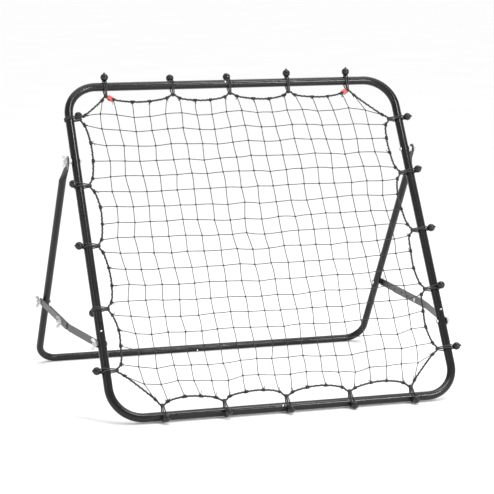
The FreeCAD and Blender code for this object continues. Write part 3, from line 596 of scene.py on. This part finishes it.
def knot_path(size):
    """A small overhand tangle about the origin, as a closed path that reaches to size."""
    t = np.linspace(0, 2 * math.pi, KNOT_POINTS, endpoint=False)
    path = np.column_stack([np.sin(t) + KNOT_LOOP * np.sin(2 * t),
                            np.cos(t) - KNOT_LOOP * np.cos(2 * t), -KNOT_RISE * np.sin(3 * t)])
    return size * path / (1 + KNOT_LOOP)


def turned(points, axis, spin):
    """Points with their own Z along an axis, after a spin about it."""
    axis = unit(np.asarray(axis, float))
    side = unit(np.cross(axis, (0.36, 0.48, 0.80)))
    third = np.cross(axis, side)
    cos, sin = math.cos(spin), math.sin(spin)
    return np.asarray(points) @ np.array([side * cos + third * sin, third * cos - side * sin, axis])


BALL_HOLE_R = 0.0030
BALL_RIM_R = 0.0006
SEAM_HALF = 0.00035
SEAM_RISE = 0.00012
BALL_SIDES = 40
BORE_SHARE = 0.45           # where the bore's wall starts, as a share of the ball's radius
BALL_KNOT = 0.0024          # the cord's knot on the ball's outer side
BALL_KNOT_R = 0.00115
CORD_END_R = 0.0010
KNOT_SEAT = 0.0006          # how far the knot's middle lies below the ball's top
END_SPREAD = 0.0011         # of the two cut ends from the middle of the knot
END_RISE = (0.0028, 0.0036)


def ball_profile():
    """Radius and height of the moulded ball from its lower hole over the seam to the upper."""
    bore = [(BALL_HOLE_R, -BALL_R * BORE_SHARE)]
    turn = math.asin((BALL_HOLE_R + BALL_RIM_R) / BALL_R)
    rim_height = math.cos(turn) * BALL_R
    for a in np.linspace(0, math.pi / 2, 5):
        bore.append((BALL_HOLE_R + BALL_RIM_R * (1 - math.cos(a)),
                     -(rim_height - BALL_RIM_R * (1 - math.sin(a)))))
    body = []
    for a in np.linspace(turn, math.pi / 2, 14)[1:-1]:
        body.append((math.sin(a) * BALL_R, -math.cos(a) * BALL_R))
    half = bore + body
    half += [(BALL_R, -SEAM_HALF * 1.6), (BALL_R + SEAM_RISE, -SEAM_HALF)]
    return np.array(half + [(r, -h) for r, h in half[::-1]])


PROFILE = ball_profile()


def add_ball(mesh, bungee, spin):
    """A lathed ball whose hole points at the tube."""
    normal = BELT_NORMALS[ball_foot(bungee)]
    axis = normal[0] * bungee.out + normal[1] * bungee.front
    angles = np.linspace(0, 2 * math.pi, BALL_SIDES, endpoint=False)
    rings = np.stack([np.column_stack([r * np.cos(angles), r * np.sin(angles),
                                       np.full(BALL_SIDES, h)]) for r, h in PROFILE])
    points = turned(rings.reshape(-1, 3), axis, spin) + bungee.ball
    mesh.grid(to_world(points).reshape(rings.shape), True, True)
    return axis


def make_bungees():
    """Each bungee's ball, in its node's place, and its elastic with the knot and cut ends."""
    for side in SIDES:
        for bungee in BUNGEES[side]:
            spin = rng.uniform(0, 2 * math.pi)
            ball = Mesh()
            axis = add_ball(ball, bungee, spin)
            ball_piece = ball.build(bungee.node + "_ball", ball_plastic)
            cord = Mesh()
            cord.tube(to_world(bungee_cord(bungee)), CORD_R, 10)
            knot = turned(knot_path(BALL_KNOT), axis, spin)
            top = bungee.ball + axis * (BALL_R - KNOT_SEAT)
            cord.tube(to_world(knot + top), BALL_KNOT_R, 7, closed=True)
            for way in (-1, 1):
                lean = turned([[END_SPREAD * way, 0, 0]], axis, spin)[0]
                end = [top - axis * 0.005 + lean, top + lean, top + axis * 0.0022 + lean * 1.5,
                       top + axis * rng.uniform(*END_RISE) + lean * 2.2]
                cord.tube(to_world(curve_through(end, 0.0008)), CORD_END_R, 7)
            cord.build(bungee.node + "_cord", elastic)
            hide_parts(bungee.node)


# ---- border rope and net ---------------------------------------------------------------

def rope_plan():
    """The rope's closed line in u, s, n, and the net's ties on it by side and number."""
    line, ties = [], {side: [] for side in SIDES}
    order = {"bottom": 1, "right": 1, "top": -1, "left": -1}
    for place, side in enumerate(SIDES):
        bungees = BUNGEES[side][::order[side]]
        following = SIDES[(place + 1) % len(SIDES)]
        for number, bungee in enumerate(bungees):
            way = bungee.along * order[side]
            line += [bungee.anchor - way * ROPE_BEARING, bungee.anchor + way * ROPE_BEARING]
            if number + 1 < len(bungees):
                run = bungees[number + 1].anchor - bungee.anchor
                shares = TIE_SHARES if order[side] > 0 else [1 - s for s in TIE_SHARES[::-1]]
                for share, sag in zip(shares, TIE_SAGS):
                    tie = bungee.anchor + run * (share + rng.normal(0, TIE_SPREAD))
                    tie = tie - bungee.out * (sag + rng.normal(0, SAG_SPREAD))
                    line.append(tie)
                    ties[side].append(tie)
            else:
                start = bungee.anchor
                target = BUNGEES[following][::order[following]][0].anchor
                inward = unit(-(bungee.out + BUNGEES[following][0].out))
                for share, owner in zip(CORNER_SHARES, (side, following)):
                    tie = start + (target - start) * share + inward * CORNER_SAG
                    line.append(tie)
                    if owner == side:
                        ties[side].append(tie)
                    else:
                        ties[following].insert(0, tie)
    return np.array(line), ties


def relaxed_net(ties):
    """Knots of the net at rest between its ties: a grid of CELLS x CELLS points in u, s."""
    bottom = np.array(ties["bottom"])
    right = np.array(ties["right"])
    top = np.array(ties["top"][::-1])
    left = np.array(ties["left"][::-1])
    share = (np.arange(CELLS) + 1) / (CELLS + 1)
    columns = bottom[:, None] * (1 - share[None, :, None]) + top[:, None] * share[None, :, None]
    rows = left[None] * (1 - share[:, None, None]) + right[None] * share[:, None, None]
    knots = (columns + rows) / 2
    pitch = (POST_U * 2 - 2 * ROPE_INSET) / (CELLS + EDGE_CELLS)
    rest_up = pitch * REST_SHARE * (1 + rng.normal(0, REST_SPREAD, (CELLS, CELLS + 1)))
    rest_across = pitch * REST_SHARE * (1 + rng.normal(0, REST_SPREAD, (CELLS + 1, CELLS)))
    for _ in range(RELAX_STEPS):
        tall = np.concatenate([bottom[:, None], knots, top[:, None]], axis=1)
        wide = np.concatenate([left[None], knots, right[None]], axis=0)
        up = np.diff(tall, axis=1)
        across = np.diff(wide, axis=0)
        up_length = np.linalg.norm(up, axis=2)
        across_length = np.linalg.norm(across, axis=2)
        up_pull = up * ((up_length - rest_up) / up_length)[..., None]
        across_pull = across * ((across_length - rest_across) / across_length)[..., None]
        force = up_pull[:, 1:] - up_pull[:, :-1] + across_pull[1:] - across_pull[:-1]
        knots = knots + RELAX_PULL * force
    return knots, bottom, right, top, left


def belly(points):
    """Moves points behind the net's plane, most in the middle."""
    points = np.array(points, float)
    u = points[..., 0] / POST_U
    s = points[..., 1] / (TOP_S / 2) - 1
    points[..., 2] -= NET_BELLY * np.clip(1 - u * u, 0, 1) * np.clip(1 - s * s, 0, 1)
    return points


STRAND_BOW = 0.0005
STRAND_STEP = 0.006
CROSSING_LIFT = TWINE_R * 0.6   # of one strand over the other at a knot, each way
NET_KNOT = 0.0021
KNOT_SIZES = (0.9, 1.12)
KNOT_TWINE_R = TWINE_R * 0.92
TIE_KNOT = 0.0019
TIE_KNOT_DROP = 0.0036      # the tie's knot from the rope's centre, into the net
TIE_TURNS = (3, 6)          # rounds of the rope, the second number left out
TIE_CORE_R = ROPE_R + TWINE_R * 0.8
TIE_ENDS = 2
TIE_END_LENGTHS = (0.004, 0.009)
TIE_END_R = TWINE_R * 0.8
TIE_END_SPREAD = 0.9
WHIP_R = TWINE_R * 0.62
WHIP_LIFT = (0.1, 0.5)      # of the whipping's centre off the rope, in twine radii
WHIP_HOLD = 12              # points of the rope that keep one pitch


def strand(points):
    """A twine's path through its knots, with a slight bow in each cell."""
    points = np.asarray(points, float)
    fine = [points[0]]
    for a, b in zip(points[:-1], points[1:]):
        bow = rng.normal(0, STRAND_BOW, 3) * (1, 1, 1.4)
        for share in (0.2, 0.5, 0.8):
            fine.append(a + (b - a) * share + bow * (1 - (2 * share - 1) ** 2))
        fine.append(b)
    return to_world(curve_through(fine, STRAND_STEP))


def wrap(mesh, centre, along, core, turns, radius, spin):
    """Twine lashed round the rope at a point."""
    t = np.linspace(0, 2 * math.pi * turns, int(10 * turns) + 1)
    pitch = radius * 2.05
    helix = np.column_stack([np.cos(t + spin) * core, np.sin(t + spin) * core,
                             (t / (2 * math.pi) - turns / 2) * pitch])
    mesh.tube(to_world(turned(helix, along, 0.0) + centre), radius, 6)


def tail(mesh, start, heading, length, radius):
    """A short loose end of twine that curls away from its knot."""
    heading = unit(np.asarray(heading, float))
    curl = unit(rng.normal(0, 1, 3)) * length * 0.35
    points = [start, start + heading * length * 0.4, start + heading * length * 0.75 + curl * 0.5,
              start + heading * length + curl]
    mesh.tube(to_world(curve_through(points, length / 5)), radius, 5)


def sides_of(path):
    """A closed path's tangents, and two directions square to them at each point."""
    tangents = unit(np.roll(path, -1, 0) - np.roll(path, 1, 0))
    flat = unit(np.cross(tangents, (0, 0, 1.0)))
    return tangents, flat, np.cross(tangents, flat)


def whip(mesh, path):
    """One twine wound loosely round the whole rope, at a pitch that wanders."""
    count = len(path)
    _, flat, rise = sides_of(path)
    pitches = rng.uniform(*WHIP_PITCH, count // WHIP_HOLD + 1).repeat(WHIP_HOLD)[:count]
    turn = np.cumsum(2 * math.pi * ROPE_STEP / pitches)
    turn *= 2 * math.pi * round(turn[-1] / (2 * math.pi)) / turn[-1]
    radius = ROPE_R + TWINE_R * rng.uniform(*WHIP_LIFT, count)
    offset = np.cos(turn)[:, None] * flat + np.sin(turn)[:, None] * rise
    mesh.tube(to_world(path + offset * radius[:, None]), WHIP_R, 5, closed=True)


def make_net(line, ties, rope_path):
    """The knotted net between its ties, and its lashing to the rope."""
    knots, bottom, right, top, left = relaxed_net(ties)
    knots = belly(knots)
    twine = Mesh()
    for k in range(CELLS):
        column = np.vstack([bottom[k:k + 1], knots[k], top[k:k + 1]])
        row = np.vstack([left[k:k + 1], knots[:, k], right[k:k + 1]])
        column[1:-1, 2] += CROSSING_LIFT
        row[1:-1, 2] -= CROSSING_LIFT
        twine.tube(strand(column), TWINE_R, 6)
        twine.tube(strand(row), TWINE_R, 6)
    for knot in knots.reshape(-1, 3):
        path = turned(knot_path(NET_KNOT), (0, 0, 1), rng.uniform(0, 2 * math.pi))
        path = path * rng.uniform(*KNOT_SIZES) + knot
        twine.tube(to_world(path), KNOT_TWINE_R, 5, closed=True)
    net = twine.build("net_twine", twine_yarn)
    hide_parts("net")
    lashing = Mesh()
    closed = np.vstack([line, line[:1]])
    for side in SIDES:
        for tie in ties[side]:
            place = int(np.argmin(np.linalg.norm(line - tie, axis=1)))
            along = unit(closed[place + 1] - line[place - 1])
            turns = rng.integers(*TIE_TURNS)
            wrap(lashing, tie, along, TIE_CORE_R, float(turns), TWINE_R, rng.uniform(0, 6))
            inward = -np.array(tube_of(side)[0], float)
            hitch = tie + inward * TIE_KNOT_DROP
            knot = turned(knot_path(TIE_KNOT), along, rng.uniform(0, 6))
            lashing.tube(to_world(knot + hitch), TWINE_R, 5, closed=True)
            for _ in range(TIE_ENDS):
                heading = inward + rng.normal(0, TIE_END_SPREAD, 3)
                tail(lashing, hitch, heading, rng.uniform(*TIE_END_LENGTHS), TIE_END_R)
    whip(lashing, rope_path)
    lashing.build("net_lashing", twine_yarn)


ROPE_STRANDS = 3
ROPE_STRAND_R = 0.00128
ROPE_LAY = 0.0135
STRAY_FIBRES = 260
FIBRE_R = 0.00012
FIBRE_LENGTHS = (0.003, 0.006)
FIBRE_SWEEP = 1.6           # how much more a stray fibre runs along the rope than away from it
ROPE_STEP = 0.0012
WHIP_PITCH = (0.007, 0.016)


def make_rope(line):
    """A three-strand laid rope along the closed line, with a few stray fibres."""
    path = evenly(curve_through(line, ROPE_STEP, closed=True), ROPE_STEP, closed=True)
    tangents, flat, rise = sides_of(path)
    count = len(path)
    turns = round(count * ROPE_STEP / ROPE_LAY)
    rope = Mesh()
    for number in range(ROPE_STRANDS):
        angle = 2 * math.pi * (np.arange(count) / count * turns + number / ROPE_STRANDS)
        centre = ROPE_R - ROPE_STRAND_R
        offset = np.cos(angle)[:, None] * flat + np.sin(angle)[:, None] * rise
        rope.tube(to_world(path + offset * centre), ROPE_STRAND_R, 7, closed=True)
    for place in rng.integers(0, count, STRAY_FIBRES):
        away = unit(rng.normal(0, 1, 3))
        tail(rope, path[place] + away * ROPE_R * 0.7, away + tangents[place] * FIBRE_SWEEP,
             rng.uniform(*FIBRE_LENGTHS), FIBRE_R)
    piece = rope.build("border_rope_laid", rope_yarn)
    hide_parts("border_rope")
    return path


# ---- marker tags -----------------------------------------------------------------------

TAG_WIDTH = 0.015
TAG_DROP = 0.010
TAG_THICKNESS = 0.0004
TAG_LEAF = [(TAG_DROP * 1.15, 0.0016), (TAG_DROP * 0.8, 0.0024), (TAG_DROP * 0.4, 0.0027)]
TAG_FLARE = 0.12            # a leaf's extra width at its drop, as a share
TAG_CURL = 0.0016
TAG_LIFT = 0.0035           # how far outward the folded ribbon is moved
TAG_POINTS = 9              # across the ribbon, and round its fold
TAG_REACH = 4               # points of the rope each way that give its direction


def make_tag(name, rope_path, bungee, way, offset):
    """A folded ribbon over the rope: both leaves hang inward, one a little longer."""
    distance = np.linalg.norm(rope_path - (bungee.anchor + bungee.along * way * offset), axis=1)
    place = int(np.argmin(distance))
    centre = rope_path[place]
    following = rope_path[(place + TAG_REACH) % len(rope_path)]
    along = unit(following - rope_path[place - TAG_REACH])
    along = along * np.sign(along @ bungee.along)
    inward = -bungee.out
    inward = unit(inward - along * (inward @ along))
    radius = ROPE_R + TAG_THICKNESS
    fold_angles = np.linspace(0, math.pi, TAG_POINTS)
    profile = [(d, -n) for d, n in TAG_LEAF]
    profile += [(-math.sin(a) * radius, -math.cos(a) * radius) for a in fold_angles]
    profile += [(d * 0.9, n * 1.1) for d, n in TAG_LEAF[::-1]]
    profile = np.array(profile)
    widths = np.linspace(-0.5, 0.5, TAG_POINTS) * TAG_WIDTH
    rows = []
    for down, forward in profile:
        curl = TAG_CURL * max(0.0, down / TAG_DROP) ** 2
        sideways = widths * (1 + TAG_FLARE * max(0.0, down / TAG_DROP))
        bend = curl * np.cos(widths / TAG_WIDTH * 2 * math.pi) * np.sign(forward)
        rows.append(centre + np.outer(sideways, along) + inward * (down - TAG_LIFT)
                    + np.outer(forward + bend, (0, 0, 1.0)))
    tag = Mesh()
    tag.grid(to_world(np.array(rows).reshape(-1, 3)).reshape(len(rows), len(widths), 3),
             False, False)
    piece = tag.build(name, woven_tag())
    shell = piece.modifiers.new("thickness", "SOLIDIFY")
    shell.thickness = TAG_THICKNESS
    shell.offset = 0
    smooth = piece.modifiers.new("smooth", "SUBSURF")
    smooth.levels = smooth.render_levels = 1


# ---- bolt threads ----------------------------------------------------------------------

THREAD_R = 0.00295
THREAD_PITCH = 0.001
THREAD_TURNS = 2.6
THREAD_POINTS = 34
THREAD_CREST_R = 0.00028
THREAD_LEAD = 0.0004        # from the screw's end face to the ridge
FADE_POINTS = 4


def make_threads():
    """A helical ridge on each screw end that stands out of a wing nut."""
    for node in sorted(NODES):
        if "wing_nut" not in node:
            continue
        side = -1 if node.endswith("left") else 1
        screw = node.replace("wing_nut", "bolt")
        holder = node if "elbow" in node else screw
        low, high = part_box(holder)
        end = high.x if side > 0 else low.x
        nut_low, nut_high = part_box(node)
        height, depth = (nut_low.z + nut_high.z) / 2, (nut_low.y + nut_high.y) / 2
        t = np.linspace(0, 2 * math.pi * THREAD_TURNS, THREAD_POINTS)
        x = end - side * (THREAD_LEAD + t / (2 * math.pi) * THREAD_PITCH)
        path = np.column_stack([x, depth + np.cos(t) * THREAD_R, height + np.sin(t) * THREAD_R])
        order = np.arange(THREAD_POINTS)
        from_end = np.minimum(order + 1, THREAD_POINTS - order)
        radii = THREAD_CREST_R * np.minimum(1, from_end / FADE_POINTS)
        thread = Mesh()
        thread.tube(path, radii, 6)
        body = next(b for b, nodes in frame["record"]["behaviour"]["bodies"].items()
                    if holder in nodes)
        slot = "bright_zinc" if "elbow" in node else "bolt_zinc"
        thread.build(node.replace("wing_nut", "thread"), CAD_FINISHES[slot], body)


# ---- floor, light and camera -----------------------------------------------------------

AIM = Vector((0.0052, 0.0, 0.3726))
CAMERA_TURN = -17.83        # degrees round from the front, negative to the left
CAMERA_RISE = 9.27
CAMERA_DISTANCE = 5.3117
LENS = 141.7
SENSOR = 36.0
SKY_POWER = 1.75
SKY_WIDTH = math.radians(70)
SKY_TILT = (math.radians(-14), math.radians(12), 0)


def direction(turn, rise):
    """From the object towards a place, by degrees round from the front and above the level."""
    a, e = math.radians(turn), math.radians(rise)
    return Vector((math.sin(a) * math.cos(e), -math.cos(a) * math.cos(e), math.sin(e)))


def make_camera():
    data = bpy.data.cameras.new("camera")
    data.lens = LENS
    data.sensor_width = SENSOR
    camera = bpy.data.objects.new("camera", data)
    back = direction(CAMERA_TURN, CAMERA_RISE)
    camera.location = AIM + back * CAMERA_DISTANCE
    camera.rotation_mode = "QUATERNION"
    camera.rotation_quaternion = (-back).to_track_quat("-Z", "Y")
    bpy.context.scene.collection.objects.link(camera)
    bpy.context.scene.camera = camera


def make_light(name, turn, rise, distance, width, height, power):
    data = bpy.data.lights.new(name, "AREA")
    data.shape = "RECTANGLE"
    data.size, data.size_y = width, height
    data.energy = power
    light = bpy.data.objects.new(name, data)
    away = direction(turn, rise)
    light.location = AIM + away * distance
    light.rotation_mode = "QUATERNION"
    light.rotation_quaternion = (-away).to_track_quat("-Z", "Y")
    bpy.context.scene.collection.objects.link(light)


def make_stage():
    floor = bmesh.new()
    bmesh.ops.create_grid(floor, x_segments=8, y_segments=8, size=200)
    data = bpy.data.meshes.new("floor")
    floor.to_mesh(data)
    floor.free()
    data.materials.append(pale_floor())
    piece = bpy.data.objects.new("floor", data)
    bpy.context.scene.collection.objects.link(piece)
    world = bpy.data.worlds.new("studio")
    world.use_nodes = True
    background = world.node_tree.nodes["Background"]
    links, nodes = world.node_tree.links, world.node_tree.nodes
    height = nodes.new("ShaderNodeSeparateXYZ")
    links.new(nodes.new("ShaderNodeTexCoord").outputs["Generated"], height.inputs[0])
    shade = nodes.new("ShaderNodeValToRGB")
    links.new(height.outputs["Z"], shade.inputs["Fac"])
    shade.color_ramp.elements[0].position = 0.12
    shade.color_ramp.elements[0].color = (1, 1, 1, 1)
    shade.color_ramp.elements[1].position = 0.55
    shade.color_ramp.elements[1].color = (0.42, 0.42, 0.42, 1)
    links.new(shade.outputs["Color"], background.inputs["Color"])
    bpy.context.scene.world = world
    bpy.context.scene.view_settings.view_transform = "Standard"
    make_light("strip", 28, 22, 3.6, 1.2, 0.11, 62)
    make_light("overhead", 32, 60, 3.4, 0.8, 0.3, 30)
    make_light("side", -62, 30, 3.8, 0.35, 1.6, 9)
    sky = bpy.data.lights.new("sky", "SUN")
    sky.energy, sky.angle = SKY_POWER, SKY_WIDTH
    piece = bpy.data.objects.new("sky", sky)
    piece.rotation_euler = SKY_TILT
    bpy.context.scene.collection.objects.link(piece)


# ---- everything ------------------------------------------------------------------------

finish_cad_nodes()
make_bungees()
rope_line, net_ties = rope_plan()
rope_path = make_rope(rope_line)
make_net(rope_line, net_ties, rope_path)
make_tag("marker_tag_left", rope_path, BUNGEES["top"][0], 1, 0.016)
make_tag("marker_tag_right", rope_path, BUNGEES["top"][-1], -1, 0.0135)
make_threads()
make_camera()
make_stage()
